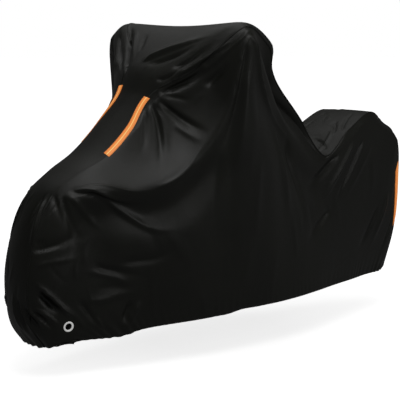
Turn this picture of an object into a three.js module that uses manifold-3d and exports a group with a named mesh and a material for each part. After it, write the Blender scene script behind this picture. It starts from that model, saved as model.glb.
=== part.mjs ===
// A fitted motorcycle cover of coated cloth, in the shape in which it hangs over its machine.
// Millimetres, +Z up, front towards -X. The origin is under the middle of the cover, level with its lowest hem.
// The cloth is one surface worked out from a table of sections and a table of folds. The panels are cut from it.
import * as THREE from "three";
import { mergeVertices } from "three/addons/utils/BufferGeometryUtils.js";
import Module from "manifold-3d";

// Driving dimensions
const CLOTH_THICKNESS = 2;
const STRIP_THICKNESS = 1;
const GAP = 0.3; // between pieces that are sewn or pressed together
const SHOULDER_AT = 1; // place across the cover, counted from 0 on the middle line
const CREST_AT = 2;
const HEM_AT = 3;
const MIDDLE_EASE = 0.7; // how softly the cloth turns over the middle line, as a share of a step across
const TURN_REACH = 300; // the turn is measured this far from the middle line
const TUCK_AT = 2.17;
const TUCK_WIDTH = 0.12;

const EYELET = {
  along: 1.34,
  across: 2.43,
  holeRadius: 12,
  barrelRadius: 13.1,
  flangeRadius: 19,
  flangeThickness: 1.2,
  patchRadius: 26,
  flatRadius: 72, // the cloth lies flat this far round the eyelet
  blendRadius: 120,
  segments: 32,
};

// The front strips lie over the two seams, and the right one is drawn further up.
const STRIPS = [
  { name: "front_strip_left", side: -1, from: 6, to: 8, inner: 0.88, outer: 1.08 },
  { name: "front_strip_right", side: 1, from: 6.5, to: 8.25, inner: 0.88, outer: 1.08 },
  { name: "rear_strip_left", side: -1, from: 19.25, to: 20.75, inner: 2.04, outer: 2.1 },
  { name: "rear_strip_right", side: 1, from: 19.25, to: 20.75, inner: 2.04, outer: 2.1 },
];

// One row for each section along the cover. A section is the outline hem, crest, shoulder, middle and back down.
// sag sinks the cloth between shoulder and crest, tuck draws it in under the crest, belly bows it out above the
// hem, crown lifts the middle line, turn carries the handlebar's left end back, ease and bend soften the shoulder
// and the crest, seamLeft and seamRight are the places of the two sewn seams across the cover, and facets is the
// number of flats up to the next section.
const COLUMNS = [
  "shoulderX", "shoulderY", "shoulderZ", "crestX", "crestY", "crestZ", "hemX", "hemY", "hemZ",
  "sag", "tuck", "belly", "crown", "turn", "ease", "bend", "seamLeft", "seamRight", "facets",
];
const SECTIONS = [
  ["front hem", -908, 58, 1, -890, 92, 6, -836, 122, 21, 0, 0, 0, 6, 0, 0.22, 0.4, 1, 1, 2],
  ["front low", -974, 62, 98, -939, 112, 93, -771, 136, 25, 0, 0, 4, 14, 0, 0.22, 0.4, 1, 1, 3],
  ["nose", -993, 66, 268, -953, 124, 258, -701, 152, 29, 0, 4, 8, 16, 0, 0.22, 0.4, 1, 1, 3],
  ["nose top", -954, 68, 433, -920, 128, 401, -636, 172, 35, 0, 8, 8, 14, 0, 0.22, 0.36, 1, 1, 3],
  ["mudguard", -876, 70, 543, -848, 132, 527, -576, 190, 40, 0, 22, 6, 10, 0, 0.22, 0.16, 1, 1, 3],
  ["slope low", -768, 84, 617, -742, 180, 561, -506, 207, 43, 4, 36, 6, 8, 0, 0.24, 0.07, 1, 1, 2],
  ["strip end", -656, 102, 681, -612, 226, 555, -426, 226, 46, 8, 40, 6, 12, 0, 0.24, 0.07, 0.95, 1, 2],
  ["slope high", -548, 112, 775, -476, 266, 587, -346, 244, 49, 12, 34, 6, 16, 0, 0.24, 0.07, 0.86, 0.95, 3],
  ["neck", -460, 124, 878, -360, 290, 683, -276, 258, 53, 14, 22, 6, 16, 4, 0.28, 0.07, 0.71, 0.61, 4],
  ["block face", -386, 196, 991, -282, 322, 843, -221, 266, 55, 12, 10, 8, 34, 14, 0.28, 0.07, 1.08, 0.5, 4],
  ["peak", -212, 308, 1136, -228, 374, 1077, -156, 272, 58, 0, 4, 8, -34, 22, 0.14, 0.07, 1.3, 0.9, 4],
  ["ear", -16, 296, 1069, -144, 350, 1023, -76, 277, 60, 14, 14, 8, 0, 20, 0.1, 0.07, 1.14, 1, 2],
  ["ear foot", 28, 270, 965, -54, 316, 938, 14, 280, 61, 18, 20, 8, 8, 12, 0.12, 0.07, 1, 1, 2],
  ["tank", 164, 186, 893, 64, 262, 828, 114, 276, 62, 18, 22, 8, 16, 4, 0.12, 0.07, 1, 1, 2],
  ["saddle front", 309, 160, 773, 209, 226, 688, 224, 265, 63, 10, 18, 8, 16, 0, 0.12, 0.07, 1, 1, 3],
  ["saddle", 448, 170, 601, 369, 194, 581, 334, 245, 63, 0, 6, 8, 2, 0, 0.08, 0.07, 1, 1, 3],
  ["seat rise", 614, 150, 701, 564, 170, 641, 464, 214, 63, 0, 0, 8, 10, 0, 0.08, 0.07, 1, 1, 2],
  ["tail peak", 768, 136, 769, 761, 149, 738, 604, 184, 62, 0, 0, 8, 6, 0, 0.08, 0.07, 1, 1, 2],
  ["tail top", 869, 126, 719, 868, 141, 693, 659, 170, 61, 0, 0, 8, 6, 0, 0.08, 0.07, 1, 1, 2],
  ["tail edge", 968, 108, 657, 966, 135, 633, 714, 158, 61, 0, 0, 8, 8, 0, 0.08, 0.07, 1, 1, 4],
  ["tail back", 992, 96, 478, 982, 132, 468, 784, 146, 60, 0, 0, 6, 12, 0, 0.1, 0.07, 1, 1, 4],
  ["rear low", 984, 92, 265, 970, 128, 258, 836, 138, 59, 0, 0, 4, 12, 0, 0.14, 0.1, 1, 1, 2],
  ["rear hem", 936, 84, 83, 920, 110, 77, 879, 124, 59, 0, 0, 0, 8, 0, 0.14, 0.1, 1, 1, 1],
].map(([name, ...values]) => {
  const row = { name };
  COLUMNS.forEach((column, i) => (row[column] = values[i]));
  return row;
});

// One row for each main fold: it runs straight along the cloth from one place to another, place along first
// and place across second. Its half width grows from widthFrom to widthTo, and height is negative in a trough.
const FOLD_COLUMNS = ["along", "across", "toAlong", "toAcross", "widthFrom", "widthTo", "height"];
const FOLDS = [
  ["neck drawn in", 8.15, -1.3, 8.15, 1.3, 26, 26, -12],
  ["neck to grip", 8.2, 1.05, 9.65, 1.45, 18, 28, -16],
  ["ridge to grip", 8.45, 1, 9.8, 1.3, 16, 22, 8],
  ["fold on the face", 9, 0.3, 9.45, 0.8, 18, 22, -8],
  ["neck to flank", 8.3, 1.1, 9.4, 1.7, 16, 28, -10],
  ["neck over the slope", 8.1, 1.1, 8.3, 1.9, 16, 26, -9],
  ["neck down", 8, 1.08, 6.85, 1.8, 18, 26, -13],
  ["neck down inside", 7.8, 1.02, 6.8, 1.4, 16, 22, -8],
  ["drape ahead of the grip", 9.4, 2.2, 9, 2.6, 24, 38, -10],
  ["drape under the grip", 10.4, 2.1, 11.1, 2.6, 32, 50, 12],
  ["drape behind the grip", 12.9, 2.08, 13.5, 2.65, 22, 36, -13],
  ["drape by the saddle", 12.75, 2.35, 13.2, 2.6, 24, 34, -8],
  ["mudguard ridge", 4.2, 1.85, 7, 2.3, 18, 28, 11],
  ["mudguard trough", 4.3, 2.1, 4.7, 2.3, 18, 24, -12],
  ["mudguard edge", 4.05, 1.4, 3.35, 2.1, 16, 20, 7],
  ["nose dent", 2.5, 1.45, 3.6, 2.25, 18, 26, -12],
  ["nose swell", 2.3, 1.5, 3.6, 2.36, 16, 22, 8],
  ["nose ridge", 1.95, 1.55, 1.7, 2.75, 16, 22, 9],
  ["nose trough", 1.6, 1.8, 1.3, 2.55, 16, 22, -9],
  ["low front fold", 1.45, 0.75, 0.5, 2.2, 16, 20, -7],
  ["flank dent", 3.6, 2.42, 5.7, 2.65, 20, 28, -10],
  ["flank dent above", 4.85, 2.5, 6.7, 2.5, 18, 26, -7],
  ["flank ridge", 3, 2.6, 4.9, 2.74, 18, 24, 6],
  ["hem pleat", 4.3, 2.78, 3.2, 2.93, 16, 20, -9],
  ["hem pleat ridge", 4.8, 2.79, 3.6, 2.98, 16, 20, 8],
  ["tail crease", 16.8, 2.1, 15.5, 2.4, 16, 26, -16],
  ["tail crease low", 15.5, 2.4, 14.4, 2.65, 26, 36, -12],
  ["tail ridge", 17.2, 2.13, 15.8, 2.47, 18, 28, 9],
  ["saddle hollow", 15.4, 2.08, 14.4, 2.3, 20, 34, -9],
  ["rear ridge", 19.1, 2.4, 19, 2.85, 18, 28, 8],
  ["rear trough", 18.4, 2.45, 17.6, 2.85, 18, 28, -9],
  ["seat wrinkle", 15.2, 0.7, 15.9, -0.1, 16, 20, -7],
  ["seat wrinkle behind", 15.8, 0.6, 16.4, 0.2, 16, 20, -6],
].map(([name, ...values]) => {
  const fold = { name };
  FOLD_COLUMNS.forEach((column, i) => (fold[column] = values[i]));
  return fold;
});
const FAR_SIDE_SHIFT = 0.15; // the right side's folds lie this much further back
const FAR_SIDE_DEPTH = 0.8; // and are shallower
const FOLD_STEPS = 12;
const FOLD_REACH = 3; // a fold dies away within this many half widths of its line
const FOLD_START = 0.2; // its height at its first end, as a share of the whole
const FOLD_RISE = 0.22; // the share of its length on which it rises
const FOLD_FALL = 0.5; // and the share on which it falls to nothing

const LAST = SECTIONS.length - 1;

// The value of one column between two sections: a smooth curve through all of them, carried on past both ends.
function valueAt(column, along) {
  const i = Math.min(Math.max(Math.floor(along), 0), LAST - 1);
  const f = along - i;
  const at = (k) => {
    if (k < 0) return 2 * SECTIONS[0][column] - SECTIONS[1][column];
    if (k > LAST) return 2 * SECTIONS[LAST][column] - SECTIONS[LAST - 1][column];
    return SECTIONS[k][column];
  };
  const [a, b, c, d] = [at(i - 1), at(i), at(i + 1), at(i + 2)];
  const linear = c - a;
  const square = 2 * a - 5 * b + 4 * c - d;
  const cube = 3 * b - a - 3 * c + d;
  return 0.5 * (2 * b + linear * f + square * f * f + cube * f * f * f);
}

// 0 below zero, the number itself above it, and a soft bend of size ease between the two.
function softRamp(x, ease) {
  return 0.5 * (x + Math.sqrt(x * x + ease * ease));
}

function smoothStep(x) {
  const t = Math.min(Math.max(x, 0), 1);
  return t * t * (3 - 2 * t);
}

// A corner of the section outline, on the left side (side -1) or the right side (side +1).
function corner(part, side, along) {
  const turned = (valueAt("turn", along) * valueAt(part + "Y", along)) / TURN_REACH;
  return new THREE.Vector3(
    valueAt(part + "X", along) - side * turned,
    side * valueAt(part + "Y", along),
    valueAt(part + "Z", along),
  );
}

// The middle line: between the two shoulders, lifted by the crown square to the shoulder line.
function middle(along) {
  const step = 1e-3;
  const dx = valueAt("shoulderX", along + step) - valueAt("shoulderX", along - step);
  const dz = valueAt("shoulderZ", along + step) - valueAt("shoulderZ", along - step);
  const length = Math.hypot(dx, dz);
  const crown = valueAt("crown", along);
  return new THREE.Vector3(
    valueAt("shoulderX", along) - (dz / length) * crown,
    0,
    valueAt("shoulderZ", along) + (dx / length) * crown,
  );
}

// The section outline hem, crest, shoulder, middle, shoulder, crest, hem with its corners softened.
// across runs from -3 at the right hem over 0 in the middle to +3 at the left hem.
function outline(along, across) {
  const [ease, bend] = [valueAt("ease", along), valueAt("bend", along)];
  const corners = [
    corner("hem", 1, along),
    corner("crest", 1, along),
    corner("shoulder", 1, along),
    middle(along),
    corner("shoulder", -1, along),
    corner("crest", -1, along),
    corner("hem", -1, along),
  ];
  const eases = [0, bend, ease, MIDDLE_EASE, ease, bend];
  const point = corners[0].clone();
  let before = new THREE.Vector3();
  eases.forEach((soft, i) => {
    const run = corners[i + 1].clone().sub(corners[i]);
    const reach = across + HEM_AT - i;
    point.addScaledVector(run.clone().sub(before), i === 0 ? reach : softRamp(reach, soft));
    before = run;
  });
  return point;
}

// The outward direction of a surface at a place on it.
function outward(surface, along, across) {
  const step = 2e-3;
  const a = surface(along + step, across).sub(surface(along - step, across));
  const b = surface(along, across + step).sub(surface(along, across - step));
  return b.cross(a).normalize();
}

// The outline with the sag, the tuck and the belly of its section.
function draped(along, across) {
  const out = Math.abs(across);
  const belly = Math.sin(Math.PI * Math.min(Math.max(out - CREST_AT, 0), 1));
  const sag = Math.sin(Math.PI * Math.min(Math.max(out - SHOULDER_AT, 0), 1));
  const tuck = Math.exp(-(((out - TUCK_AT) / TUCK_WIDTH) ** 2));
  const height =
    valueAt("belly", along) * belly - valueAt("tuck", along) * tuck - valueAt("sag", along) * sag;
  return outline(along, across).addScaledVector(outward(outline, along, across), height);
}

// The line on the draped cloth that a fold follows.
function foldLine(fold, mirrored) {
  const points = [];
  for (let i = 0; i <= FOLD_STEPS; i++) {
    const share = i / FOLD_STEPS;
    const along = THREE.MathUtils.lerp(fold.along, fold.toAlong, share);
    const across = THREE.MathUtils.lerp(fold.across, fold.toAcross, share);
    points.push(mirrored ? draped(along + FAR_SIDE_SHIFT, -across) : draped(along, across));
  }
  const reach = FOLD_REACH * Math.max(fold.widthFrom, fold.widthTo);
  const box = new THREE.Box3().setFromPoints(points).expandByScalar(reach);
  return { ...fold, points, box, depth: mirrored ? FAR_SIDE_DEPTH * fold.height : fold.height };
}

// Folds that lie past the shoulders are repeated on the right side.
const FOLD_LINES = FOLDS.map((fold) => foldLine(fold, false)).concat(
  FOLDS.filter((fold) => fold.across > SHOULDER_AT - 0.3).map((fold) => foldLine(fold, true)),
);

// How far all the folds together lift or sink the cloth at a point: each is a soft round ridge or trough about
// its line, and dies away towards its ends.
function foldHeight(point) {
  let height = 0;
  const nearest = new THREE.Vector3();
  const segment = new THREE.Line3();
  for (const fold of FOLD_LINES) {
    if (!fold.box.containsPoint(point)) continue;
    let distance = Infinity;
    let share = 0;
    for (let i = 0; i < FOLD_STEPS; i++) {
      segment.set(fold.points[i], fold.points[i + 1]);
      const k = segment.closestPointToPointParameter(point, true);
      const here = segment.at(k, nearest).distanceTo(point);
      if (here < distance) {
        distance = here;
        share = (i + k) / FOLD_STEPS;
      }
    }
    const width = THREE.MathUtils.lerp(fold.widthFrom, fold.widthTo, share);
    const fade = smoothStep(share / FOLD_RISE + FOLD_START) * smoothStep((1 - share) / FOLD_FALL);
    height += fold.depth * fade * Math.exp(-((distance / width) ** 2));
  }
  return height;
}

function folded(along, across) {
  const point = draped(along, across);
  return point.clone().addScaledVector(outward(draped, along, across), foldHeight(point));
}

// The eyelet's place on each side: its middle and the direction in which it faces.
function eyeletPlace(side) {
  const across = -side * EYELET.across;
  return { side, centre: draped(EYELET.along, across), normal: outward(draped, EYELET.along, across) };
}
const EYELET_PLACES = [eyeletPlace(-1), eyeletPlace(1)];

// The finished cloth: folded, and pressed flat round the eyelets.
function cloth(along, across) {
  const point = folded(along, across);
  for (const { centre, normal } of EYELET_PLACES) {
    const away = point.distanceTo(centre);
    const blend = (EYELET.blendRadius - away) / (EYELET.blendRadius - EYELET.flatRadius);
    const off = point.clone().sub(centre).dot(normal);
    point.addScaledVector(normal, -off * smoothStep(blend));
  }
  return point;
}

// Places along the cover: each section and the flats up to the next one.
const ALONGS = SECTIONS.slice(0, LAST).flatMap((section, i) =>
  Array.from({ length: section.facets }, (_, k) => i + k / section.facets),
);
ALONGS.push(LAST);

// Columns across the cover: the middle panel up to its seam, column 1, then a side panel from there to its hem.
// They are closest where the cloth turns over the crest.
const SEAM_COLUMN = 1;
const MIDDLE_COLUMNS = [0, 0.3, 0.6, 0.88, 1];
const SIDE_COLUMNS = [1.08, 1.35, 1.65, 1.88, 2.04, 2.1, 2.2, 2.34, 2.52, 2.76, 3];
const HALF_COLUMNS = MIDDLE_COLUMNS.concat(SIDE_COLUMNS);
const ACROSSES = HALF_COLUMNS.slice(1).reverse().map((column) => -column).concat(HALF_COLUMNS);

// The place across the cover of a column: column 1 follows the seam, and column 2 is the crest.
function columnPlace(along, column) {
  const out = Math.abs(column);
  const seam = valueAt(column > 0 ? "seamLeft" : "seamRight", along);
  if (out > CREST_AT) return column;
  const place = out < SEAM_COLUMN ? out * seam : seam + (out - SEAM_COLUMN) * (CREST_AT - seam);
  return Math.sign(column) * place;
}

// The whole cloth as a grid of flats, which gives each point its outward direction.
const wholeCloth = new THREE.BufferGeometry().setFromPoints(
  ALONGS.flatMap((along) => ACROSSES.map((column) => cloth(along, columnPlace(along, column)))),
);
const wholeIndex = [];
for (let i = 0; i + 1 < ALONGS.length; i++) {
  for (let j = 0; j + 1 < ACROSSES.length; j++) {
    const a = i * ACROSSES.length + j;
    const b = a + ACROSSES.length;
    wholeIndex.push(a, a + 1, b + 1, a, b + 1, b);
  }
}
wholeCloth.setIndex(wholeIndex).computeVertexNormals();

function gridPoint(attribute, i, j) {
  return new THREE.Vector3().fromBufferAttribute(wholeCloth.getAttribute(attribute), i * ACROSSES.length + j);
}

// The numbers of the places between two limits.
function placesBetween(places, low, high) {
  const slack = 1e-6;
  return places.map((_, i) => i).filter((i) => places[i] > low - slack && places[i] < high + slack);
}

// The direction along the cover in which a column runs at a row.
function edgeRun(i, j) {
  const ahead = gridPoint("position", Math.min(i + 1, ALONGS.length - 1), j);
  return ahead.sub(gridPoint("position", Math.max(i - 1, 0), j)).normalize();
}

// A closed shell over part of the cloth's flats, from height `under` to height `over` above them. `trim` moves
// its two long edges in, so that it stays clear of the next panel.
function shell({ from, to, low, high }, under, over, trim) {
  const rows = placesBetween(ALONGS, from, to);
  const columns = placesBetween(ACROSSES, low, high);
  const lower = [];
  const upper = [];
  for (const i of rows) {
    const points = columns.map((j) => gridPoint("position", i, j));
    const last = points.length - 1;
    const shifts = [
      points[1].clone().sub(points[0]).projectOnPlane(edgeRun(i, columns[0])).setLength(trim),
      points[last - 1].clone().sub(points[last]).projectOnPlane(edgeRun(i, columns[last])).setLength(trim),
    ];
    points[0].add(shifts[0]);
    points[last].add(shifts[1]);
    points.forEach((point, k) => {
      const normal = gridPoint("normal", i, columns[k]);
      lower.push(point.clone().addScaledVector(normal, under));
      upper.push(point.clone().addScaledVector(normal, over));
    });
  }
  const wide = columns.length;
  const count = upper.length;
  const index = [];
  const quad = (a, b, c, d) => index.push(a, b, c, a, c, d);
  for (let i = 0; i + 1 < rows.length; i++) {
    for (let j = 0; j + 1 < wide; j++) {
      const a = i * wide + j;
      quad(a, a + 1, a + wide + 1, a + wide);
      quad(count + a + wide + 1, count + a + 1, count + a, count + a + wide);
    }
    const a = i * wide;
    const b = a + wide - 1;
    quad(a, a + wide, count + a + wide, count + a);
    quad(b, count + b, count + b + wide, b + wide);
  }
  const end = (rows.length - 1) * wide;
  for (let j = 0; j + 1 < wide; j++) {
    quad(j, count + j, count + j + 1, j + 1);
    quad(end + j, end + j + 1, count + end + j + 1, count + end + j);
  }
  return new THREE.BufferGeometry().setFromPoints(upper.concat(lower)).setIndex(index);
}

// Joining and cutting
const wasm = await Module();
wasm.setup();

function toSolid(geometry) {
  const plain = new THREE.BufferGeometry().setAttribute("position", geometry.getAttribute("position"));
  if (geometry.index) plain.setIndex(geometry.index);
  const merged = mergeVertices(plain, 1e-3);
  return new wasm.Manifold(
    new wasm.Mesh({
      numProp: 3,
      vertProperties: merged.attributes.position.array,
      triVerts: new Uint32Array(merged.index.array),
    }),
  );
}

function toGeometry(solid) {
  const mesh = solid.getMesh();
  const geometry = new THREE.BufferGeometry();
  geometry.setAttribute("position", new THREE.BufferAttribute(mesh.vertProperties, 3));
  return geometry.setIndex(new THREE.BufferAttribute(mesh.triVerts, 1));
}

// A closed ring turned from a profile of radius and height, with its axis along the eyelet's direction.
function turned(profile, place) {
  const points = profile.map(([radius, height]) => new THREE.Vector2(radius, height));
  points.push(points[0].clone());
  const ring = new THREE.LatheGeometry(points, EYELET.segments);
  const turn = new THREE.Quaternion().setFromUnitVectors(new THREE.Vector3(0, 1, 0), place.normal);
  return ring.applyQuaternion(turn).translate(...place.centre.toArray());
}

function blackCloth() {
  return new THREE.MeshStandardMaterial({ color: 0x141416, roughness: 0.45, metalness: 0 });
}

function orangeTape() {
  return new THREE.MeshStandardMaterial({ color: 0xf5863c, roughness: 0.5, metalness: 0 });
}

function brightSteel() {
  return new THREE.MeshStandardMaterial({ color: 0xd8dadc, roughness: 0.25, metalness: 1 });
}

const cover = new THREE.Group();

function add(name, geometry, material) {
  geometry.computeVertexNormals();
  const mesh = new THREE.Mesh(geometry, material);
  mesh.name = name;
  cover.add(mesh);
}

// The middle panel runs from the front hem over the top to the rear hem.
const middlePanel = { from: 0, to: LAST, low: -SEAM_COLUMN, high: SEAM_COLUMN };
add("centre_panel", shell(middlePanel, -CLOTH_THICKNESS, 0, GAP / 2), blackCloth());

// A range across the cover on one side, from nearest the middle line to furthest.
function acrossRange(side, inner, outer) {
  return side < 0 ? { low: inner, high: outer } : { low: -outer, high: -inner };
}

const WINDOW_DEPTH = 8; // to each side of the cloth, so that the window goes right through it

// A side panel with a round window for its eyelet patch.
function sidePanel(place) {
  const range = { from: 0, to: LAST, ...acrossRange(place.side, SEAM_COLUMN, HEM_AT) };
  const whole = shell(range, -CLOTH_THICKNESS, 0, GAP / 2);
  const reach = EYELET.patchRadius + GAP;
  const window = turned(
    [[0, -WINDOW_DEPTH], [reach, -WINDOW_DEPTH], [reach, WINDOW_DEPTH], [0, WINDOW_DEPTH]],
    place,
  );
  return toGeometry(toSolid(whole).subtract(toSolid(window)));
}

// The round patch of cloth that holds an eyelet.
function eyeletPatch(place) {
  const hole = EYELET.barrelRadius + GAP;
  const reach = EYELET.patchRadius;
  const profile = [[hole, -CLOTH_THICKNESS], [reach, -CLOTH_THICKNESS], [reach, 0], [hole, 0]];
  return turned(profile, place);
}

// A pressed metal eyelet: a short barrel through the cloth with a flange on each face.
function eyeletRing(place) {
  const outer = GAP + EYELET.flangeThickness;
  const profile = [
    [EYELET.holeRadius, -CLOTH_THICKNESS - outer],
    [EYELET.flangeRadius, -CLOTH_THICKNESS - outer],
    [EYELET.flangeRadius, -CLOTH_THICKNESS - GAP],
    [EYELET.barrelRadius, -CLOTH_THICKNESS - GAP],
    [EYELET.barrelRadius, GAP],
    [EYELET.flangeRadius, GAP],
    [EYELET.flangeRadius, outer],
    [EYELET.holeRadius, outer],
  ];
  return turned(profile, place);
}

// A reflective strip sewn on the cloth, over the flats that it covers.
function strip({ side, from, to, inner, outer }) {
  return shell({ from, to, ...acrossRange(side, inner, outer) }, GAP, GAP + STRIP_THICKNESS, 0);
}

for (const place of EYELET_PLACES) {
  const hand = place.side < 0 ? "left" : "right";
  add(`${hand}_side_panel`, sidePanel(place), blackCloth());
  add(`eyelet_patch_${hand}`, eyeletPatch(place), blackCloth());
  add(`eyelet_ring_${hand}`, eyeletRing(place), brightSteel());
}
for (const row of STRIPS) add(row.name, strip(row), orangeTape());

export default cover;
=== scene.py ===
import math

import bmesh
import bpy
import numpy as np
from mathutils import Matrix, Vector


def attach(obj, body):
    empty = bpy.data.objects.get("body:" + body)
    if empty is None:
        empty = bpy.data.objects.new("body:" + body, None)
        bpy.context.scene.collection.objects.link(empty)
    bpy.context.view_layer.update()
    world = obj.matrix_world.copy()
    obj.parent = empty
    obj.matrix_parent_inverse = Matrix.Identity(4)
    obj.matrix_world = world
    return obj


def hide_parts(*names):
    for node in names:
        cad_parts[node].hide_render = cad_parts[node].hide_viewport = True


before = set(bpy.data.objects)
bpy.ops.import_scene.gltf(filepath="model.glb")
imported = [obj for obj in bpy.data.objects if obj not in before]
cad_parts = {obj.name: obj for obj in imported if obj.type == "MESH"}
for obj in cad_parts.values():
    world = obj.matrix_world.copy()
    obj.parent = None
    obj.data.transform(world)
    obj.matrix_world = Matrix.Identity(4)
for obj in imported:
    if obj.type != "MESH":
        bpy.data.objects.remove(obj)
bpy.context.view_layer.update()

# The camera looks along the left side from the front end, a little downwards, with a long lens.
CAMERA_PLACE = (-3.280, -3.442, 1.073)
CAMERA_TILT = math.radians(82.4)
CAMERA_TURN = math.radians(-42.7)
CAMERA_LENS = 108.0

camera_data = bpy.data.cameras.new("camera")
camera_data.lens = CAMERA_LENS
camera = bpy.data.objects.new("camera", camera_data)
camera.location = CAMERA_PLACE
camera.rotation_euler = (CAMERA_TILT, 0.0, CAMERA_TURN)
bpy.context.scene.collection.objects.link(camera)
bpy.context.scene.camera = camera
bpy.context.scene.view_settings.view_transform = "Standard"

# The studio is a wide white floor under a pale sky, lit by a ring of large weak soft boxes, most from the front left.
# The cover hangs clear of the floor by about a hand's width.
FLOOR_HEIGHT = -0.107
FLOOR_REACH = 60.0
FLOOR_POINTS = 9  # along each edge
FLOOR_PALE = (0.92, 0.92, 0.92, 1.0)
FLOOR_GLOW_NEAR = 0.80
FLOOR_GLOW_FAR = 1.1
FLOOR_GLOW_START = 0.3  # metres from the middle to where the floor begins to get lighter
FLOOR_GLOW_REACH = 3.0  # and to where it is plain white
SKY_TOP = 0.02
SKY_SIDE = 0.10
SKY_FADE = (-0.1, 0.9)  # the heights of a direction between which the sky goes from its side to its top
WHITE = (1.0, 1.0, 1.0, 1.0)
LIGHT_MIDDLE = (0.0, 0.0, 0.5)
LIGHT_AWAY = 3.6
LIGHT_SIZE = 1.9
SOFT_BOXES = (
    # name, turn round the cover from +X in degrees, height above the level in degrees, watts
    ("main box", 225, 58, 20.5),
    ("top box", 0, 89, 11.5),
    ("left box", 270, 58, 5.5),
    ("rear right box", 45, 58, 5.5),
    ("right box", 90, 58, 5.0),
    ("front right box", 135, 58, 1.0),
    ("low front left box", 225, 28, 1.0),
    ("low left box", 285, 20, 11.0),
)


def grid_faces(rows, columns):
    """The quads of a grid of points that is stored row by row."""
    first = np.arange(rows - 1)[:, None] * columns + np.arange(columns - 1)[None, :]
    return np.stack([first, first + 1, first + columns + 1, first + columns], -1).reshape(-1, 4)


def new_piece(name, points, faces, material=None, uv=None):
    """An object at the origin from points in metres and their faces, smooth, with an optional UV for each point."""
    mesh = bpy.data.meshes.new(name)
    mesh.from_pydata(points.reshape(-1, 3).tolist(), [], faces if isinstance(faces, list) else faces.tolist())
    mesh.polygons.foreach_set("use_smooth", np.ones(len(mesh.polygons), bool))
    if uv is not None:
        corners = np.empty(len(mesh.loops), np.int32)
        mesh.loops.foreach_get("vertex_index", corners)
        mesh.uv_layers.new(name="cloth").uv.foreach_set("vector", uv.reshape(-1, 2)[corners].ravel())
    if material is not None:
        mesh.materials.append(material)
    mesh.update()
    piece = bpy.data.objects.new(name, mesh)
    bpy.context.scene.collection.objects.link(piece)
    return piece


def plain_material(name, colour, roughness):
    """A material with one Principled shader, and that shader and the node tree to add to."""
    material = bpy.data.materials.new(name)
    material.use_nodes = True
    shader = material.node_tree.nodes["Principled BSDF"]
    shader.inputs["Base Color"].default_value = colour
    shader.inputs["Roughness"].default_value = roughness
    return material, shader, material.node_tree


def feed(tree, node, *rows):
    """Links outputs to a node's inputs, from one row (input, source node, output) for each link."""
    for socket, source, output in rows:
        tree.links.new(source.outputs[output], node.inputs[socket])


def add_node(tree, kind, rows=(), values=(), operation=None):
    """A node of a kind with its operation, its input values by name or number, and the rows that feed it."""
    node = tree.nodes.new("ShaderNode" + kind)
    if operation is not None:
        node.operation = operation
    for socket, value in dict(values).items():
        node.inputs[socket].default_value = value
    feed(tree, node, *rows)
    return node


def ranged(tree, source, output, low, high, to_low, to_high):
    """A node that carries a value evenly from the range low to high over to the range to_low to to_high."""
    limits = {"From Min": low, "From Max": high, "To Min": to_low, "To Max": to_high}
    return add_node(tree, "MapRange", [("Value", source, output)], limits)


floor_material, floor_shader, floor_tree = plain_material("studio_floor", FLOOR_PALE, roughness=0.6)
floor_shader.inputs["Specular IOR Level"].default_value = 0.0
floor_shader.inputs["Emission Color"].default_value = WHITE
floor_place = add_node(floor_tree, "TexCoord")
floor_away = add_node(floor_tree, "VectorMath", [(0, floor_place, "Object")], operation="LENGTH")
floor_glow = ranged(
    floor_tree, floor_away, "Value", FLOOR_GLOW_START, FLOOR_GLOW_REACH, FLOOR_GLOW_NEAR, FLOOR_GLOW_FAR
)
feed(floor_tree, floor_shader, ("Emission Strength", floor_glow, "Result"))
floor_edge = np.linspace(-FLOOR_REACH, FLOOR_REACH, FLOOR_POINTS)
floor_x, floor_y = np.meshgrid(floor_edge, floor_edge, indexing="ij")
floor_points = np.stack([floor_x, floor_y, np.full_like(floor_x, FLOOR_HEIGHT)], -1)
floor = new_piece("studio_floor", floor_points, grid_faces(FLOOR_POINTS, FLOOR_POINTS)[:, ::-1], floor_material)
floor.visible_diffuse = False
floor.visible_glossy = False

world = bpy.data.worlds.new("studio_sky")
bpy.context.scene.world = world
world.use_nodes = True
sky = world.node_tree
sky.nodes.clear()
sky_way = add_node(sky, "TexCoord")
sky_parts = add_node(sky, "SeparateXYZ", [(0, sky_way, "Generated")])
sky_height = ranged(sky, sky_parts, "Z", *SKY_FADE, SKY_SIDE, SKY_TOP)
sky_ray = add_node(sky, "LightPath")
sky_rows = [("Factor", sky_ray, "Is Camera Ray"), ("A", sky_height, "Result")]
sky_strength = add_node(sky, "Mix", sky_rows, {"B": 1.0})  # plain white where the camera sees it
sky_light = add_node(sky, "Background", [("Strength", sky_strength, "Result")], {"Color": WHITE})
add_node(sky, "OutputWorld", [("Surface", sky_light, "Background")])

for box_name, box_turn, box_height, box_watts in SOFT_BOXES:
    box_data = bpy.data.lights.new(box_name, "AREA")
    box_data.shape = "SQUARE"
    box_data.size = LIGHT_SIZE
    box_data.energy = box_watts
    soft_box = bpy.data.objects.new(box_name, box_data)
    turn, height = math.radians(box_turn), math.radians(box_height)
    way = Vector((math.cos(turn) * math.cos(height), math.sin(turn) * math.cos(height), math.sin(height)))
    soft_box.location = Vector(LIGHT_MIDDLE) + way * LIGHT_AWAY
    soft_box.rotation_euler = (-way).to_track_quat("-Z", "Y").to_euler()
    bpy.context.scene.collection.objects.link(soft_box)

# The centre panel is the long strip of cloth from the front hem over the high top and the low rear to the rear hem.
# It is black polyester, coated inside, lapped over each side panel and sewn down with two rows of stitches.
SECTION_COLUMNS = (
    "shoulder_x", "shoulder_y", "shoulder_z", "crest_x", "crest_y", "crest_z", "hem_x", "hem_y", "hem_z",
    "sag", "tuck", "belly", "crown", "turn", "ease", "bend", "seam_left", "seam_right",
)
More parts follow.
